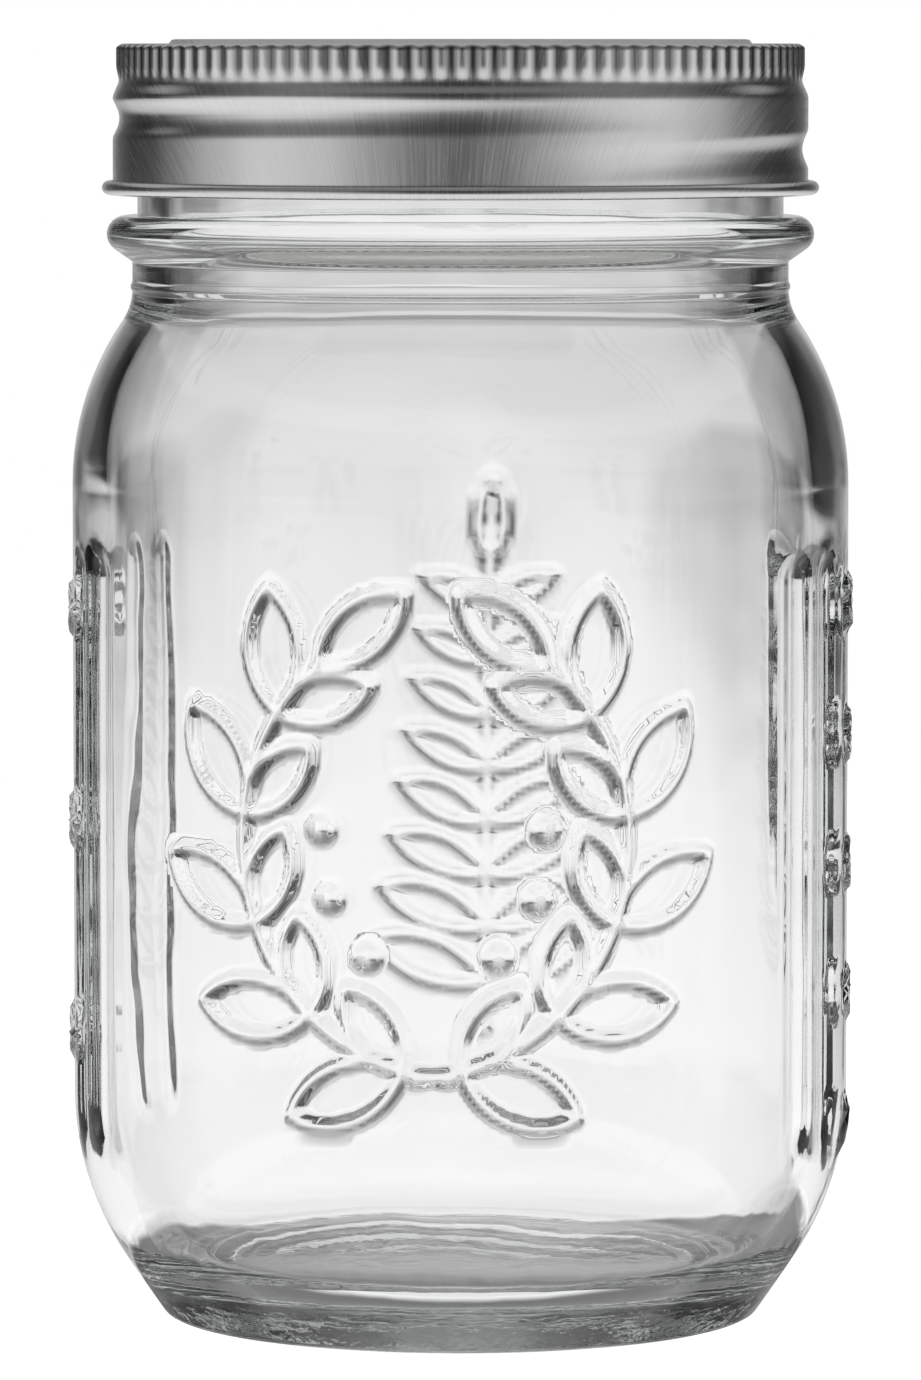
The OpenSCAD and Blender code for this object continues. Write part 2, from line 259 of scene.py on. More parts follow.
# What the glass sees through itself: dark flags, below and above the horizon, by the turn from the nearest
# quarter of the room, where 1 is midway between two, and light cards by height. Heights run from 0, straight
# down, to 1, straight up. Each list gives the first and the last stop of its curve, then those between.
LOW_FLAGS = [(0, 1.0), (1, 0.95), (0.07, 0.95), (0.11, 0.78), (0.16, 0.6), (0.21, 0.45), (0.27, 0.2),
             (0.33, 0.13), (0.4, 0.16), (0.48, 0.55), (0.58, 0.8)]
HIGH_FLAGS = [(0, 1.0), (1, 0.1), (0.16, 0.95), (0.27, 0.55), (0.44, 0.25), (0.6, 0.05), (0.88, 0.03)]
HIGH_FROM = [(0, 0.0), (1, 1.0), (0.484, 0.0), (0.494, 1.0)]
FLAGS_FROM = [(0, 0.0), (1, 1.0), (0.43, 0.05), (0.45, 0.15), (0.4575, 0.3), (0.466, 0.7), (0.475, 1.0)]
OPEN_BAND = [(0, 0.0), (1, 0.0), (0.69, 0.0), (0.71, 1.0), (0.76, 1.0), (0.8, 0.0)]
CARDS = [(0, 0.9), (1, 0.2), (0.25, 1.0), (0.4, 1.08), (0.45, 1.02), (0.475, 0.92), (0.5, 0.79),
         (0.56, 0.54), (0.6, 0.37), (0.69, 0.32), (0.71, 0.75), (0.76, 0.75), (0.8, 0.3)]

# What glass and metal mirror: sides by their turn from the camera, dimmed by height, a light table below,
# a glow high up behind the jar, and a soft top
SIDES = [(0, 0.1), (1, 0.6), (0.06, 0.14), (0.14, 0.34), (0.27, 0.66), (0.38, 0.74), (0.5, 0.5),
         (0.6, 0.2), (0.68, 0.06), (0.78, 0.04), (0.87, 0.12), (0.94, 0.45)]
RISE = [(0, 1.0), (1, 0.2), (0.52, 1.0), (0.58, 0.6), (0.7, 0.25)]
TABLE_BELOW = [(0, 1.0), (1, 0.0), (0.3, 1.0), (0.38, 0.7), (0.47, 0.0)]
TABLE_LIGHT = 0.85
BEHIND = [(0, 0.0), (1, 1.0), (0.58, 0.0), (0.72, 1.0)]
GLOW = [(0, 0.0), (1, 0.4), (0.63, 0.0), (0.7, 0.4)]
TOP_FROM = [(0, 0.0), (1, 1.0), (0.8, 0.0), (0.9, 1.0)]
TOP_LIGHT = (0.2, 0.42)
# What matt surfaces and the camera see
ROOM_LIGHT = 0.8
GROUND_LIGHT = 1.0

# Light that a thick wall guides is followed this far
BOUNCES = 24

# Camera, from the photograph
CAMERA_AZIMUTH = 4.0
CAMERA_DISTANCE = 850.0 * MM
CAMERA_Z = 132.3 * MM
CAMERA_AIM_Z = 65.25 * MM
CAMERA_LENS = 212.4


def arc(centre, radius, start, end, step):
    """Points of an arc in the (radius, height) plane, no further apart than step."""
    count = max(2, math.ceil(abs(math.radians(end - start)) * radius / step))
    angles = np.radians(np.linspace(start, end, count + 1))
    return [(centre[0] + radius * math.cos(a), centre[1] + radius * math.sin(a)) for a in angles]


def straight(first, last, step):
    """Points of a straight run, no further apart than step."""
    count = max(1, math.ceil(math.dist(first, last) / step))
    return [tuple(np.add(first, np.subtract(last, first) * i / count)) for i in range(count + 1)]


def chain(*runs):
    """One outline from several runs, without points that repeat the one before."""
    points = []
    for run in runs:
        points += [p for p in run if not points or math.dist(p, points[-1]) > 1e-7]
    return points


def revolve(bm, outline, steps, closed=False):
    """Spins an outline round Z: one sector is spun, then copied round the axis and merged."""
    verts = [bm.verts.new((r, 0, z)) for r, z in outline]
    pairs = list(zip(verts, verts[1:]))
    if closed:
        pairs.append((verts[-1], verts[0]))
    edges = [bm.edges.new(p) for p in pairs]
    bmesh.ops.spin(bm, geom=verts + edges, axis=(0, 0, 1), cent=(0, 0, 0),
                   angle=2 * math.pi / SECTORS, steps=steps // SECTORS, use_duplicate=False)
    sector = bm.verts[:] + bm.edges[:] + bm.faces[:]
    for i in range(1, SECTORS):
        made = bmesh.ops.duplicate(bm, geom=sector)["geom"]
        copy = [g for g in made if isinstance(g, bmesh.types.BMVert)]
        turn = Matrix.Rotation(2 * math.pi * i / SECTORS, 3, "Z")
        bmesh.ops.rotate(bm, verts=copy, cent=(0, 0, 0), matrix=turn)
    bmesh.ops.remove_doubles(bm, verts=bm.verts, dist=2e-6)


def take(bm):
    """Vertices of a mesh, and their places as an array."""
    verts = list(bm.verts)
    return verts, np.array([v.co for v in verts])


def put(verts, places):
    """Sets vertices back to places that were changed."""
    for v, p in zip(verts, places):
        v.co = p


def set_radius(places, radius):
    """Moves points straight in or out to a new distance from the axis."""
    old = np.hypot(places[:, 0], places[:, 1])
    places[:, :2] *= (radius / np.maximum(old, 1e-9))[:, None]


def smooth(x):
    """An even step from 0 to 1 with soft ends."""
    x = np.clip(x, 0, 1)
    return x * x * (3 - 2 * x)


def helix_bump(angle, z, side_z, span, half, fades, levels):
    """1 on a right-hand helix that passes side_z on the +X side and may level off, 0 past half a width."""
    bump = np.zeros(len(z))
    for turn in (-720, -360, 0, 360):
        along = angle + turn
        climb = np.minimum(along, levels[0]) + levels[1] * np.maximum(along - levels[0], 0)
        away = np.abs(z - side_z - PITCH * climb / 360) / half
        ends = smooth((along - span[0]) / fades[0]) * smooth((span[1] - along) / fades[1])
        bump = np.maximum(bump, ends * np.clip(1 - away ** 2, 0, 1) ** 1.5)
    return bump


def wall_distance(angle, centre):
    """Distance along the wall from an upright centre line, growing to the right as seen from outside."""
    return np.radians((angle - centre + 180) % 360 - 180) * BODY_R


def lift_of(strokes, u, v):
    """Height that round-topped strokes, each (line, half width, height), give at points of the wall."""
    lift = np.zeros(len(u))
    for line, half, top in strokes:
        line = np.asarray(line, float)
        low, high = line.min(0) - half, line.max(0) + half
        near = np.flatnonzero((u > low[0]) & (u < high[0]) & (v > low[1]) & (v < high[1]))
        p = np.stack([u[near], v[near]], 1)
        best = np.full(len(near), 1.0)
        for a, b in zip(line, line[1:] if len(line) > 1 else line):
            t = np.clip((p - a) @ (b - a) / max((b - a) @ (b - a), 1e-12), 0, 1)
            best = np.minimum(best, np.linalg.norm(p - a - t[:, None] * (b - a), axis=1))
        lift[near] = np.maximum(lift[near], top * np.clip(1 - (best / half) ** 2, 0, 1))
    return lift


def heading(angle):
    """A unit step on the wall at an angle in degrees."""
    return np.array([math.cos(math.radians(angle)), math.sin(math.radians(angle))])


def leaf(root, angle, length, slim):
    """Raised outline of a pointed leaf: two arcs that meet at its root and its tip."""
    sag = slim * length / 2
    radius = (length ** 2 / 4 + sag ** 2) / (2 * sag)
    reach = math.degrees(math.asin(length / 2 / radius))
    upper = arc((length / 2, sag - radius), radius, 90 + reach, 90 - reach, length / 10)
    shape = np.array(upper + [(x, -y) for x, y in upper[::-1]])
    along, across = heading(angle), heading(angle + 90)
    return root + shape[:, :1] * along + shape[:, 1:] * across, LEAF_HALF, STROKE_H


def wreath():
    """Two leafy branches that rise from the bottom and leave the middle and the top open."""
    middle = np.array([-BRANCH_SHIFT, RELIEF_Z])
    turns = np.linspace(*BRANCH_TURN, 40)
    branch = [([middle + BRANCH_R * heading(t) for t in turns], STROKE_HALF, STROKE_H)]
    for t in np.linspace(*LEAF_TURN, WREATH_PAIRS):
        root = middle + BRANCH_R * heading(t)
        branch.append(leaf(root, t + 90 - LEAF_LEAN, LEAF_L, WREATH_SLIM))
        branch.append(leaf(root, t + 90 + LEAF_LEAN, INNER_LEAF_L, WREATH_SLIM))
    branch.append(leaf(middle + BRANCH_R * heading(turns[-1]), turns[-1] + 90, TIP_LEAF_L, WREATH_SLIM))
    branch += [([middle + BERRY_R * heading(t)], BERRY_HALF, BERRY_H) for t in BERRY_TURNS]
    return branch + [(np.asarray(line) * (-1, 1), half, top) for line, half, top in branch]


def frond():
    """An upright stem with leaves in pairs that shorten towards the tip."""
    strokes = [([(0, RELIEF_Z + v) for v in FROND_Z], STROKE_HALF, STROKE_H)]
    heights = np.linspace(*FROND_LEAF_Z, FROND_PAIRS)
    lengths = np.linspace(*FROND_LEAF_L, FROND_PAIRS)
    for v, length in zip(heights, lengths):
        strokes += [leaf(np.array([0, RELIEF_Z + v]), 90 + hand * FROND_LEAN, length, FROND_SLIM)
                    for hand in (-1, 1)]
    strokes.append(leaf(np.array([0, RELIEF_Z + FROND_Z[1]]), 90, FROND_TIP_L, FROND_SLIM))
    return strokes


def loop(cx, cy, rx, ry, start, end):
    """Part of an ellipse, as points of a digit's line."""
    angles = np.radians(np.linspace(start, end, 15))
    return [(cx + rx * math.cos(a), cy + ry * math.sin(a)) for a in angles]


# Lines of the digits in a cell 0.6 wide and 1 high
DIGITS = {
    "0": [loop(0.3, 0.5, 0.28, 0.5, 0, 360)],
    "1": [[(0.14, 0.8), (0.36, 1), (0.36, 0)]],
    "2": [loop(0.3, 0.7, 0.28, 0.3, 170, -40) + [(0.02, 0), (0.6, 0)]],
    "3": [loop(0.28, 0.75, 0.26, 0.25, 150, -90) + loop(0.28, 0.25, 0.3, 0.25, 90, -150)],
    "4": [[(0.46, 0), (0.46, 1), (0, 0.3), (0.62, 0.3)]],
    "6": [[(0.5, 1), (0.2, 0.82), (0.03, 0.5)] + loop(0.31, 0.3, 0.29, 0.3, 160, 520)],
    "8": [loop(0.3, 0.76, 0.24, 0.24, -90, 270), loop(0.3, 0.27, 0.3, 0.27, 90, 450)],
}


def number(digits, centre, height):
    """Strokes of a number that is centred on a point of the wall."""
    strokes = []
    for i, digit in enumerate(digits):
        left = centre[0] + (DIGIT_PITCH * (i - len(digits) / 2) + DIGIT_INSET) * height
        for line in DIGITS[digit]:
            shape = np.array(line) * height + (left, centre[1] - height / 2)
            strokes.append((shape, DIGIT_HALF, DIGIT_LIFT))
    return strokes


def scale_marks(first_z, step_z, labels, tick_u, number_u):
    """A measuring scale: one raised tick and one plain number a step."""
    strokes = []
    for i, label in enumerate(labels):
        z = first_z + i * step_z
        strokes.append(([(tick_u - TICK_REACH, z), (tick_u + TICK_REACH, z)], TICK_HALF, TICK_HALF))
        strokes += number(label, (number_u, z), DIGIT_H)
    return strokes


def jar_outside():
    """Outer outline of the glass, from the middle of the base to the rim's land."""
    heel_c = (BODY_R - HEEL_R, HEEL_H)
    slope = math.radians(HEEL_SLOPE)
    heel_low = (heel_c[0] + HEEL_R * math.cos(slope), heel_c[1] - HEEL_R * math.sin(slope))
    bearing_out = (heel_low[0] - (heel_low[1] - FOOT_R * (1 - math.sin(slope))) * math.tan(slope)
                   - FOOT_R * math.cos(slope))
    bearing_in = bearing_out - BEARING_W
    push_r, dome = bearing_in - PUSH_STEP, PUSH_UP - PUSH_STEP
    dome_r = (push_r ** 2 + dome ** 2) / (2 * dome)
    foot = arc((bearing_out, FOOT_R), FOOT_R, -90, -HEEL_SLOPE, 0.4 * MM)
    heel = arc(heel_c, HEEL_R, -HEEL_SLOPE, 0, 1.8 * MM)
    shoulder = arc((BODY_R - SHOULDER_R, SHOULDER_Z), SHOULDER_R, 0, SHOULDER_TURN, 1.8 * MM)
    hollow = arc((NECK_R + NECK_CURVE_R, NECK_Z), NECK_CURVE_R, 180 + SHOULDER_TURN, 180, 0.38 * MM)
    bead = arc((BEAD_C_R, BEAD_Z), BEAD_R, BEAD_UNDER - 90, 90, 0.5 * MM)
    rim = arc((FINISH_R - RIM_R, RIM_Z - RIM_R), RIM_R, 0, 90, 0.4 * MM)
    return chain(
        arc((0, PUSH_UP - dome_r), dome_r, 90, math.degrees(math.acos(push_r / dome_r)), 6 * MM),
        straight((push_r, PUSH_STEP), (bearing_in, 0), 0.7 * MM),
        straight((bearing_in, 0), (bearing_out, 0), 1 * MM),
        foot, straight(foot[-1], heel[0], 1.6 * MM), heel,
        straight((BODY_R, HEEL_H), (BODY_R, SHOULDER_Z), 0.56 * MM),
        shoulder, hollow,
        straight((NECK_R, NECK_Z), (NECK_R, BEAD_LOW_Z), 0.35 * MM),
        bead, straight((BEAD_C_R, BEAD_TOP_Z), (FINISH_R, BEAD_TOP_Z), 1 * MM),
        straight((FINISH_R, BEAD_TOP_Z), rim[0], 0.8 * MM), rim)


def jar_inside():
    """Inner outline of the glass, from the middle of the floor to the rim's land."""
    heel_c, heel_in = (BODY_R - HEEL_R, HEEL_H), HEEL_R - WALL
    drop = HEEL_H - FLOOR_Z - FLOOR_CORNER_R
    corner_r = heel_c[0] + math.sqrt((heel_in - FLOOR_CORNER_R) ** 2 - drop ** 2)
    corner = (corner_r, FLOOR_Z + FLOOR_CORNER_R)
    meet = -math.degrees(math.asin(drop / (heel_in - FLOOR_CORNER_R)))
    return chain(
        straight((0, FLOOR_Z), (corner[0], FLOOR_Z), 4 * MM),
        arc(corner, FLOOR_CORNER_R, -90, meet, 1 * MM),
        arc(heel_c, heel_in, meet, 0, 1.5 * MM),
        straight((INSIDE_R, HEEL_H), (INSIDE_R, SHOULDER_Z), 5 * MM),
        arc((BODY_R - SHOULDER_R, SHOULDER_Z), SHOULDER_R - WALL, 0, INSIDE_TURN, 2 * MM),
        arc((MOUTH_R + NECK_CURVE_R + WALL, INSIDE_NECK_Z), NECK_CURVE_R + WALL,
            180 + INSIDE_TURN, 180, 1.5 * MM),
        straight((MOUTH_R, INSIDE_NECK_Z), (MOUTH_R, RIM_Z - RIM_R), 4 * MM),
        arc((MOUTH_R + RIM_R, RIM_Z - RIM_R), RIM_R, 180, 90, 0.4 * MM))


def spread(places):
    """Moves evenly spun points to the wall's own sectors, and returns their angles in degrees."""
    even = np.degrees(np.arctan2(places[:, 1], places[:, 0])) % 360
    even[even > 359.99] = 0
    ends = np.cumsum([(0, 0)] + WALL_STEPS, 0)
    angle = WALL_START + np.interp(even, 360 * ends[:, 1] / ends[-1, 1], ends[:, 0])
    radius = np.hypot(places[:, 0], places[:, 1])
    places[:, 0] = radius * np.cos(np.radians(angle))
    places[:, 1] = radius * np.sin(np.radians(angle))
    return angle


def shape_outside(places):
    """Flutes, relief, scales and thread on the outer face of the glass."""
    radius = np.hypot(places[:, 0], places[:, 1])
    z = places[:, 2]
    angle = spread(places)
    for centre in FLUTE_ANGLES:
        u = wall_distance(angle, centre)
        past = np.maximum(np.maximum(z - FLUTE_TOP_Z, FLUTE_TOP_Z - FLUTE_H - z) + FLUTE_W / 2, 0)
        bite = np.sqrt(np.maximum(FLUTE_R ** 2 - u ** 2 - past ** 2, 0))
        depth = FLUTE_DEPTH - FLUTE_R + bite
        cut = np.where(bite > 0, (depth + np.hypot(depth, FLUTE_SOFT)) / 2, 0)
        radius -= cut * (radius > INSIDE_R)
    panels = ((FRONT, wreath()), (BACK, frond()),
              (RIGHT, scale_marks(**RIGHT_SCALE)), (LEFT, scale_marks(**LEFT_SCALE)))
    for centre, strokes in panels:
        u = wall_distance(angle, centre)
        on_wall = (radius > INSIDE_R) & (z > PANEL_LOW_Z) & (z < NECK_Z)
        mine = np.flatnonzero((np.abs(u) < PANEL_HALF) & on_wall)
        radius[mine] += lift_of(strokes, u[mine], z[mine])
    wander = PARTING_WANDER * np.sin(np.radians(3 * angle))
    seam = np.clip(1 - ((z - PARTING_Z - wander) / PARTING_HALF) ** 2, 0, 1)
    radius += PARTING_H * seam * (radius > NECK_R - 0.5 * MM)
    finish = (z > BEAD_TOP_Z) & (radius > FINISH_R - RIM_R)
    ridge = helix_bump(angle, z, GROOVE_SIDE_Z + THREAD_LIFT, THREAD_SPAN, THREAD_HALF,
                       THREAD_FADES, THREAD_LEVELS)
    radius = np.where(finish, radius + THREAD_H * np.clip(THREAD_FULL * ridge, 0, 1), radius)
    set_radius(places, radius)


def shape_inside(places):
    """The slow waves of a blown inner face."""
    angle = np.radians(spread(places))
    radius = np.hypot(places[:, 0], places[:, 1])
    z = places[:, 2]
    wave = sum(share * np.sin(count * angle + start + turn * z) for share, count, start, turn in WAVES)
    calm = smooth((z - FLOOR_Z) / WAVE_START) * smooth((WAVE_END_Z - z) / WAVE_FADE)
    set_radius(places, radius + WAVE_H * wave * calm)


def rim_loop(bm):
    """The open upper edge of a spun face, as vertices in order round the axis."""
    def turn(vert):
        return (math.degrees(math.atan2(vert.co.y, vert.co.x)) - WALL_START + 0.01) % 360

    return sorted({v for e in bm.edges if e.is_boundary for v in e.verts}, key=turn)


def build_jar():
    """Outer and inner faces are spun at their own fineness and joined on the rim's land."""
    steps = sum(count for _, count in WALL_STEPS)
    bm, inner = bmesh.new(), bmesh.new()
    revolve(bm, jar_outside(), steps)
    revolve(inner, jar_inside(), steps // INNER_RATIO)
    for face, shape in ((bm, shape_outside), (inner, shape_inside)):
        verts, places = take(face)
        shape(places)
        put(verts, places)
    outer_rim = rim_loop(bm)
    scrap = bpy.data.meshes.new("inner_face")
    inner.to_mesh(scrap)
    inner.free()
    bm.from_mesh(scrap)
    bpy.data.meshes.remove(scrap)
    inner_rim = [v for v in rim_loop(bm) if v not in set(outer_rim)]
    for i, v in enumerate(inner_rim):
        near = [outer_rim[(i * INNER_RATIO + k) % steps] for k in range(INNER_RATIO + 1)]
        bm.faces.new([v] + near + [inner_rim[(i + 1) % len(inner_rim)]])
    return bm


def build_band():
    """Rolled sheet: flange, knurled wall, flare, grooved wall and curled edge."""
    edge_c = (KNURL_OUT_R - BAND_EDGE_R, KNURL_TOP_Z)
    step_low = KNURL_LOW_Z - FLARE_H
    flare = [(KNURL_OUT_R + KNURL_INSET * smooth(t), KNURL_LOW_Z - FLARE_H * t)
             for t in np.linspace(0, 1, 8)]
    curl_c = (BAND_IN_R + CURL_R, BAND_LOW_Z + CURL_R)
    knurl_in = KNURL_OUT_R - BAND_T
    curl_in = arc(curl_c, CURL_R - BAND_T, 180, 470, 0.25 * MM)
    outline = chain(
        straight((HOLE_R, BAND_TOP_Z), (edge_c[0], BAND_TOP_Z), 1.2 * MM),
        arc(edge_c, BAND_EDGE_R, 90, 0, 0.2 * MM),
        straight((KNURL_OUT_R, KNURL_TOP_Z), (KNURL_OUT_R, KNURL_LOW_Z), 0.33 * MM),
        flare,
        straight((BAND_OUT_R, step_low), curl_in[0], 0.33 * MM),
        curl_in, arc(curl_c, CURL_R, 470, 180, 0.25 * MM),
        straight((BAND_IN_R, curl_c[1]), (BAND_IN_R, step_low), 0.5 * MM),
        [(r - BAND_T, z) for r, z in flare[::-1]],
        straight((knurl_in, KNURL_LOW_Z), (knurl_in, KNURL_TOP_Z), 0.5 * MM),
        arc(edge_c, BAND_EDGE_R - BAND_T, 0, 90, 0.2 * MM),
        straight((edge_c[0], BAND_TOP_Z - BAND_T), (HOLE_R, BAND_TOP_Z - BAND_T), 2.4 * MM))
    bm = bmesh.new()
    slot_shade = bm.verts.layers.float.new("slot_shade")
    revolve(bm, outline, KNURL_STEPS * KNURL_COUNT, closed=True)
    verts, places = take(bm)
    angle = np.degrees(np.arctan2(places[:, 1], places[:, 0]))
    radius = np.hypot(places[:, 0], places[:, 1])
    z = places[:, 2]
    ridge = 0.5 + 0.5 * np.cos(np.radians(angle) * KNURL_COUNT)
    run_out = smooth((z - KNURL_LOW_Z + KNURL_RUN_OUT) / KNURL_FADE)
    upper = (run_out * smooth((BAND_TOP_Z - 0.05 * MM - z) / KNURL_TOP_FADE)
             * (radius > knurl_in - 0.2 * MM))
    plain = smooth((z - curl_c[1] - CURL_R) / GROOVE_CLEAR) * smooth((KNURL_LOW_Z - z) / GROOVE_CLEAR)
    groove = helix_bump(angle, z, GROOVE_SIDE_Z, GROOVE_SPAN, GROOVE_HALF, GROOVE_FADES, GROOVE_LEVELS)
    set_radius(places, radius + KNURL_DEPTH * ridge * upper - GROOVE_DEPTH * groove * plain)
    put(verts, places)
    # Painted shade: a darker tone in the bottoms of the knurl slots, in place of the shade they cast on each
    # other
    for vert, painted_shade in zip(verts, smooth((SLOT_SHADE_EDGE - ridge) / SLOT_SHADE_SOFT) * upper):
        vert[slot_shade] = painted_shade
    unfold(bm)
    return bm


def build_disc():
    """Tinplate disc: drawn-down button, raised panel, outer ring, turned-down edge, and soft bends."""
    dish_r = (BUTTON_R ** 2 + BUTTON_DEPTH ** 2) / (2 * BUTTON_DEPTH)
    half = math.degrees(math.asin(BUTTON_R / dish_r))
    bend = DISC_T * math.tan(math.atan2(PANEL_Z - DISC_TOP_Z, PANEL_SLOPE_W) / 2)
    top = (0, PANEL_Z - BUTTON_DEPTH + dish_r)
    low = (0, top[1] - DISC_T)
    edge = DISC_T
    outline = chain(
        arc(top, dish_r, -90, half - 90, 2 * MM),
        straight((BUTTON_R + 0.8 * MM, PANEL_Z), (PANEL_R - SOFT_BEND, PANEL_Z), 4 * MM),
        [(PANEL_R + SOFT_IN, PANEL_Z - SOFT_DROP), (PANEL_FOOT_R - SOFT_IN, DISC_TOP_Z + SOFT_DROP)],
        straight((PANEL_FOOT_R + SOFT_BEND, DISC_TOP_Z), (DISC_R - edge, DISC_TOP_Z), 1.2 * MM),
        arc((DISC_R - edge, DISC_TOP_Z - edge), edge, 90, 0, 0.12 * MM),
        [(DISC_R, DISC_TOP_Z - DISC_EDGE_H), (DISC_R - DISC_T, DISC_TOP_Z - DISC_EDGE_H),
         (DISC_R - DISC_T, DISC_LOW_Z), (PANEL_FOOT_R - bend, DISC_LOW_Z),
         (PANEL_R - bend, PANEL_Z - DISC_T)],
        arc(low, dish_r, half - 90, -90, 3 * MM))
    bm = bmesh.new()
    revolve(bm, outline, DISC_STEPS)
    unfold(bm)
    return bm


def build_seal():
    """Ring of sealing compound with soft lower edges."""
    seal_in = PANEL_FOOT_R + SEAL_ROOM
    low = RIM_Z + SEAL_EDGE_R
    outline = chain(
        straight((SEAL_OUT_R, DISC_LOW_Z), (seal_in, DISC_LOW_Z), 2 * MM),
        arc((seal_in + SEAL_EDGE_R, low), SEAL_EDGE_R, 180, 270, 0.1 * MM),
        straight((seal_in + SEAL_EDGE_R, RIM_Z), (SEAL_OUT_R - SEAL_EDGE_R, RIM_Z), 1 * MM),
        arc((SEAL_OUT_R - SEAL_EDGE_R, low), SEAL_EDGE_R, -90, 0, 0.1 * MM))
    bm = bmesh.new()
    revolve(bm, outline, SEAL_STEPS, closed=True)
    return bm


def unfold(bm):
    """UV map of a drawn piece: where each point lay, in metres, on the sheet that it was drawn from."""
    layer = bm.loops.layers.uv.new("sheet")
    for vert in bm.verts:
        radius = math.hypot(vert.co.x, vert.co.y)
        drawn = (1 + max(0.0, BAND_TOP_Z - vert.co.z) / radius) if radius > 1e-6 else 1
        for corner in vert.link_loops:
            corner[layer].uv = (vert.co.x * drawn, vert.co.y * drawn)


def piece(bm, name, material, body, cad_node, sharp=50.0):
    """Makes the object that stands for a CAD node: outward normals, smooth faces, sharp folds kept."""
    bmesh.ops.recalc_face_normals(bm, faces=bm.faces)
    for face in bm.faces:
        face.smooth = True
    for edge in bm.edges:
        edge.smooth = edge.calc_face_angle(0) < math.radians(sharp)
    mesh = bpy.data.meshes.new(name)
    bm.to_mesh(mesh)
    bm.free()
    mesh.materials.append(material)
    obj = bpy.data.objects.new(name, mesh)
    bpy.context.collection.objects.link(obj)
    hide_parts(cad_node)
    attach(obj, body)


def new_material(name):
    """A material, its node tree and its main shader."""
    material = bpy.data.materials.new(name)
    material.use_nodes = True
    tree = material.node_tree
    return material, tree, tree.nodes["Principled BSDF"]


def node(tree, kind, inputs=None, **settings):
    """Adds a node, sets its properties and its input values, or links them where a socket is given."""
    made = tree.nodes.new(kind)
    for key, value in settings.items():
        setattr(made, key, value)
    for key, value in (inputs or {}).items():
        if isinstance(value, bpy.types.NodeSocket):
            tree.links.new(value, made.inputs[key])
        else:
            made.inputs[key].default_value = value
    return made


def remap(tree, value, old, new):
    """Turns a value of an old range into one of a new range, and keeps it inside."""
    inputs = {0: value, 1: old[0], 2: old[1], 3: new[0], 4: new[1]}
    return node(tree, "ShaderNodeMapRange", inputs).outputs[0]


def grain_group():
    """Shared effect: fine drawn lines of rolled tinplate, as a height, a roughness and a tone."""
    group = bpy.data.node_groups.new("drawn_grain", "ShaderNodeTree")
    group.interface.new_socket("Vector", in_out="INPUT", socket_type="NodeSocketVector")
    group.interface.new_socket("Roughness", in_out="INPUT", socket_type="NodeSocketFloat")
    for name in ("Height", "Roughness", "Tone"):
        group.interface.new_socket(name, in_out="OUTPUT", socket_type="NodeSocketFloat")
    start, end = node(group, "NodeGroupInput"), node(group, "NodeGroupOutput")
    vector = start.outputs["Vector"]
    lines = node(group, "ShaderNodeTexNoise",
                 {"Vector": vector, "Scale": 1.0, "Detail": 3.0, "Roughness": 0.6})
    clouds = node(group, "ShaderNodeTexNoise", {"Vector": vector, "Scale": 0.06, "Detail": 2.0})
    streak = remap(group, lines.outputs[0], NOISE_RANGE, STREAK_ROUGH)
    patch = remap(group, clouds.outputs[0], NOISE_RANGE, PATCH_ROUGH)
    total = maths(group, "ADD", maths(group, "ADD", streak, patch), start.outputs["Roughness"])
    tone = remap(group, lines.outputs[0], NOISE_RANGE, STREAK_TONE)
    for name, source in (("Height", lines.outputs[0]), ("Roughness", total), ("Tone", tone)):
        group.links.new(source, end.inputs[name])
    return group


def tinplate(name, colour, roughness, lines, group, painted_slot_shade=0.0):
    """Bright rolled steel: drawn lines that ran straight across the flat sheet, and painted shade that
    darkens the knurl slots.
    """
    material, tree, shader = new_material(name)
    where = node(tree, "ShaderNodeUVMap", uv_map="sheet")
    mapped = node(tree, "ShaderNodeMapping", {"Vector": where.outputs[0], "Scale": GRAIN})
    grain = node(tree, "ShaderNodeGroup", node_tree=group)
    tree.links.new(mapped.outputs[0], grain.inputs["Vector"])
    grain.inputs["Roughness"].default_value = roughness
    bump = node(tree, "ShaderNodeBump",
                {"Strength": lines, "Distance": GRAIN_H, "Height": grain.outputs["Height"]})
    tone = grain.outputs["Tone"]
    # Painted shade: the base colour is darkened where the band's knurl slots lie
    if painted_slot_shade:
        slot_shade = node(tree, "ShaderNodeAttribute", attribute_name="slot_shade").outputs["Fac"]
        tone = maths(tree, "MULTIPLY", tone, maths(tree, "MULTIPLY_ADD", slot_shade, -painted_slot_shade, 1.0))
    mix = node(tree, "ShaderNodeMix", {"Factor": 1.0, 6: colour, 7: tone},
               data_type="RGBA", blend_type="MULTIPLY")
    tree.links.new(mix.outputs[2], shader.inputs["Base Color"])
    tree.links.new(grain.outputs["Roughness"], shader.inputs["Roughness"])
    tree.links.new(bump.outputs[0], shader.inputs["Normal"])
    shader.inputs["Metallic"].default_value = 1.0
    return material


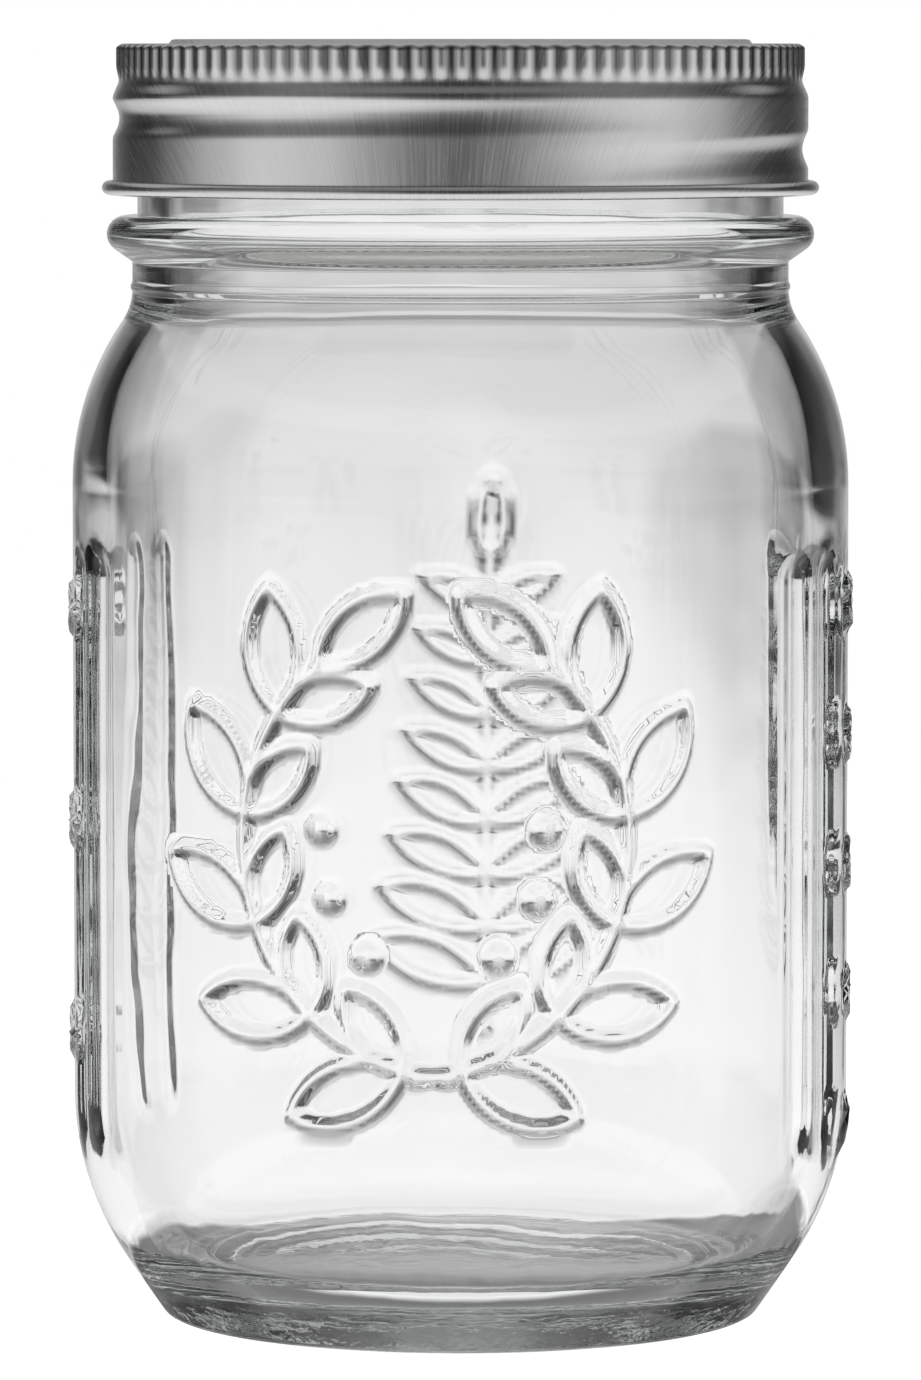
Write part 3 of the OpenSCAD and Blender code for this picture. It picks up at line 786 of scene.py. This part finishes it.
def clear_glass():
    """Flint glass with slight chill waves; lamps pass through it so that its shadow stays light."""
    material, tree, shader = new_material("flint_glass")
    shader.inputs["Base Color"].default_value = (0.99, 0.993, 0.99, 1)
    shader.inputs["Roughness"].default_value = 0.0
    shader.inputs["IOR"].default_value = 1.52
    shader.inputs["Transmission Weight"].default_value = 1.0
    where = node(tree, "ShaderNodeTexCoord")
    spot = where.outputs["Object"]
    waves = node(tree, "ShaderNodeTexNoise", {"Vector": spot, "Scale": CHILL, "Detail": 1.0})
    up = node(tree, "ShaderNodeSeparateXYZ", {0: spot}).outputs[2]
    height = waves.outputs[0]
    for scale, low, high, share in UNEVEN:
        noise = node(tree, "ShaderNodeTexNoise", {"Vector": spot, "Scale": scale, "Detail": 1.0})
        there = remap(tree, up, (low, high), (share, 0.0))
        height = maths(tree, "MULTIPLY_ADD", noise.outputs[0], there, height)
    bump = node(tree, "ShaderNodeBump", {"Strength": 0.3, "Distance": 0.2 * MM, "Height": height})
    tree.links.new(bump.outputs[0], shader.inputs["Normal"])
    path = node(tree, "ShaderNodeLightPath")
    clear = node(tree, "ShaderNodeBsdfTransparent", {"Color": (0.9, 0.92, 0.91, 1)})
    mix = node(tree, "ShaderNodeMixShader", {0: path.outputs["Is Shadow Ray"], 1: shader.outputs[0],
                                             2: clear.outputs[0]})
    out = tree.nodes["Material Output"]
    tree.links.new(mix.outputs[0], out.inputs["Surface"])
    depth = node(tree, "ShaderNodeVolumeAbsorption", {"Color": (0.55, 0.58, 0.56, 1), "Density": 22.0})
    tree.links.new(depth.outputs[0], out.inputs["Volume"])
    return material


def compound():
    """Soft grey sealing compound."""
    material, tree, shader = new_material("sealing_compound")
    where = node(tree, "ShaderNodeTexCoord")
    speck = node(tree, "ShaderNodeTexNoise",
                 {"Vector": where.outputs["Object"], "Scale": 2500.0, "Detail": 2.0})
    tone = node(tree, "ShaderNodeMix", {"Factor": speck.outputs[0], 6: (0.34, 0.34, 0.345, 1),
                                        7: (0.44, 0.44, 0.445, 1)}, data_type="RGBA")
    tree.links.new(tone.outputs[2], shader.inputs["Base Color"])
    shader.inputs["Roughness"].default_value = 0.6
    return material


def softbox(name, azimuth, distance, z, size, power, aim):
    """An area lamp round the jar, turned towards a point on its axis."""
    lamp = bpy.data.lights.new(name, "AREA")
    lamp.shape = "RECTANGLE"
    lamp.size, lamp.size_y = size
    lamp.energy = power
    obj = bpy.data.objects.new(name, lamp)
    a = math.radians(azimuth)
    obj.location = (math.sin(a) * distance, -math.cos(a) * distance, z)
    obj.rotation_euler = (Vector((0, 0, aim)) - obj.location).to_track_quat("-Z", "Y").to_euler()
    bpy.context.collection.objects.link(obj)
    return obj


def ramp(tree, source, stops):
    """A curve through (position, value) stops from 0 to 1, given as first, last and those between."""
    made = node(tree, "ShaderNodeValToRGB", {0: source})
    band = made.color_ramp
    band.interpolation = "EASE"
    for i, (position, value) in enumerate(stops):
        stop = band.elements[i] if i < 2 else band.elements.new(position)
        stop.position, stop.color = position, (value, value, value, 1)
    return made.outputs[0]


def maths(tree, operation, first, second=0.0, third=0.0):
    """One step of arithmetic on values or sockets."""
    return node(tree, "ShaderNodeMath", {0: first, 1: second, 2: third}, operation=operation).outputs[0]


def choose(tree, factor, first, second):
    """The first value where the factor is 0, the second where it is 1."""
    values = {"Factor": factor, 2: first, 3: second}
    return node(tree, "ShaderNodeMix", values, data_type="FLOAT").outputs[0]


def paper(name, shade=None):
    """Lit white paper, plain or with a painted shadow of the jar that stands on it; from below it is clear.
    """
    material, tree, shader = new_material(name)
    shader.inputs["Base Color"].default_value = (0.1, 0.1, 0.1, 1)
    shader.inputs["Roughness"].default_value = 0.8
    shader.inputs["Emission Color"].default_value = (1, 1, 1, 1)
    shader.inputs["Emission Strength"].default_value = 1.0
    if shade:
        where = node(tree, "ShaderNodeTexCoord")
        away = node(tree, "ShaderNodeVectorMath", {0: where.outputs["Object"]}, operation="LENGTH")
        share = maths(tree, "DIVIDE", away.outputs["Value"], SHADE_R)
        tree.links.new(ramp(tree, share, shade), shader.inputs["Emission Strength"])
    side = node(tree, "ShaderNodeNewGeometry")
    clear = node(tree, "ShaderNodeBsdfTransparent")
    mix = node(tree, "ShaderNodeMixShader", {0: side.outputs["Backfacing"], 1: shader.outputs[0],
                                             2: clear.outputs[0]})
    tree.links.new(mix.outputs[0], tree.nodes["Material Output"].inputs["Surface"])
    return material


def disc_on_table(name, radius, lift, material):
    """A flat round sheet that belongs to the stage."""
    bpy.ops.mesh.primitive_circle_add(vertices=128, radius=radius, fill_type="NGON", location=(0, 0, lift))
    obj = bpy.context.object
    obj.name = name
    obj.data.materials.append(material)
    return obj


def studio():
    """White room: pale floor, painted shadow of the jar, a lamp above, and cards and dark flags that glass
    and metal see.
    """
    floor = disc_on_table("floor", TABLE_R, 0, paper("paper"))
    floor.visible_glossy = floor.visible_transmission = False
    # Painted shadow: a dimmer glowing ellipse under the jar, hidden from the camera and seen through the
    # glass and in reflections
    shade = disc_on_table("jar_shade", SHADE_R, SHADE_LIFT, paper("shaded_paper", SHADE))
    shade.scale.y = SHADE_DEEP
    shade.location.x = SHADE_SHIFT
    shade.rotation_euler.z = math.radians(SHADE_TURN)
    shade.visible_camera = shade.visible_diffuse = shade.visible_shadow = False
    lamp = softbox("top_box", azimuth=0, distance=0.25, z=1.0, size=(0.5, 0.5), power=6, aim=0.05)
    lamp.visible_glossy = lamp.visible_transmission = False
    world = bpy.data.worlds.new("studio")
    bpy.context.scene.world = world
    world.use_nodes = True
    tree = world.node_tree
    back = tree.nodes["Background"]
    where = node(tree, "ShaderNodeTexCoord")
    part = node(tree, "ShaderNodeSeparateXYZ", {0: where.outputs["Generated"]})
    front = maths(tree, "MULTIPLY", part.outputs[1], -1.0)
    bearing = maths(tree, "ARCTAN2", part.outputs[0], front)
    turn = maths(tree, "SUBTRACT", bearing, math.radians(CAMERA_AZIMUTH))
    height = maths(tree, "MULTIPLY_ADD", part.outputs[2], 0.5, 0.5)
    away = maths(tree, "DIVIDE", maths(tree, "ABSOLUTE", turn), math.pi)
    fold = maths(tree, "DIVIDE", maths(tree, "PINGPONG", turn, math.pi / 4), math.pi / 4)
    low, high = ramp(tree, fold, LOW_FLAGS), ramp(tree, fold, HIGH_FLAGS)
    flags = choose(tree, ramp(tree, height, HIGH_FROM), low, high)
    flags = choose(tree, ramp(tree, height, FLAGS_FROM), 1.0, flags)
    flags = choose(tree, ramp(tree, height, OPEN_BAND), flags, 1.0)
    through = maths(tree, "MULTIPLY", flags, ramp(tree, height, CARDS))
    behind = ramp(tree, away, BEHIND)
    sides = maths(tree, "MULTIPLY", ramp(tree, away, SIDES), ramp(tree, height, RISE))
    around = maths(tree, "MAXIMUM", sides, maths(tree, "MULTIPLY", behind, ramp(tree, height, GLOW)))
    above = choose(tree, ramp(tree, height, TOP_FROM), around, choose(tree, behind, *TOP_LIGHT))
    mirrored = choose(tree, ramp(tree, height, TABLE_BELOW), above, TABLE_LIGHT)
    path = node(tree, "ShaderNodeLightPath")
    light = choose(tree, path.outputs["Is Glossy Ray"], ROOM_LIGHT, mirrored)
    light = choose(tree, path.outputs["Is Transmission Ray"], light, through)
    light = choose(tree, path.outputs["Is Camera Ray"], light, GROUND_LIGHT)
    tree.links.new(light, back.inputs["Color"])


def camera():
    """The photograph's view: from a little to the right, aimed at the middle of the jar."""
    lens = bpy.data.cameras.new("camera")
    lens.sensor_fit = "AUTO"
    lens.sensor_width = 36.0
    lens.lens = CAMERA_LENS
    lens.clip_start = 0.05
    lens.clip_end = 20
    obj = bpy.data.objects.new("camera", lens)
    a = math.radians(CAMERA_AZIMUTH)
    obj.location = (math.sin(a) * CAMERA_DISTANCE, -math.cos(a) * CAMERA_DISTANCE, CAMERA_Z)
    obj.rotation_euler = (Vector((0, 0, CAMERA_AIM_Z)) - obj.location).to_track_quat("-Z", "Y").to_euler()
    bpy.context.collection.objects.link(obj)
    bpy.context.scene.camera = obj


drawn_grain = grain_group()
band_metal = tinplate("tinplate_band", (0.82, 0.82, 0.82, 1), roughness=0.2, lines=0.18,
                      group=drawn_grain, painted_slot_shade=SLOT_PAINTED_SHADE)
disc_metal = tinplate("tinplate_disc", (0.84, 0.835, 0.82, 1), roughness=0.32, lines=0.07,
                      group=drawn_grain)
piece(build_jar(), "jar_glass", clear_glass(), "jar", "glass_jar", sharp=80)
piece(build_disc(), "disc_sheet", disc_metal, "lid", "lid_disc")
piece(build_seal(), "seal_ring", compound(), "lid", "sealing_ring")
piece(build_band(), "band_sheet", band_metal, "band", "screw_band")
studio()
camera()
bpy.context.scene.view_settings.view_transform = "Standard"
light_paths = bpy.context.scene.cycles
light_paths.glossy_bounces = light_paths.transmission_bounces = light_paths.max_bounces = BOUNCES
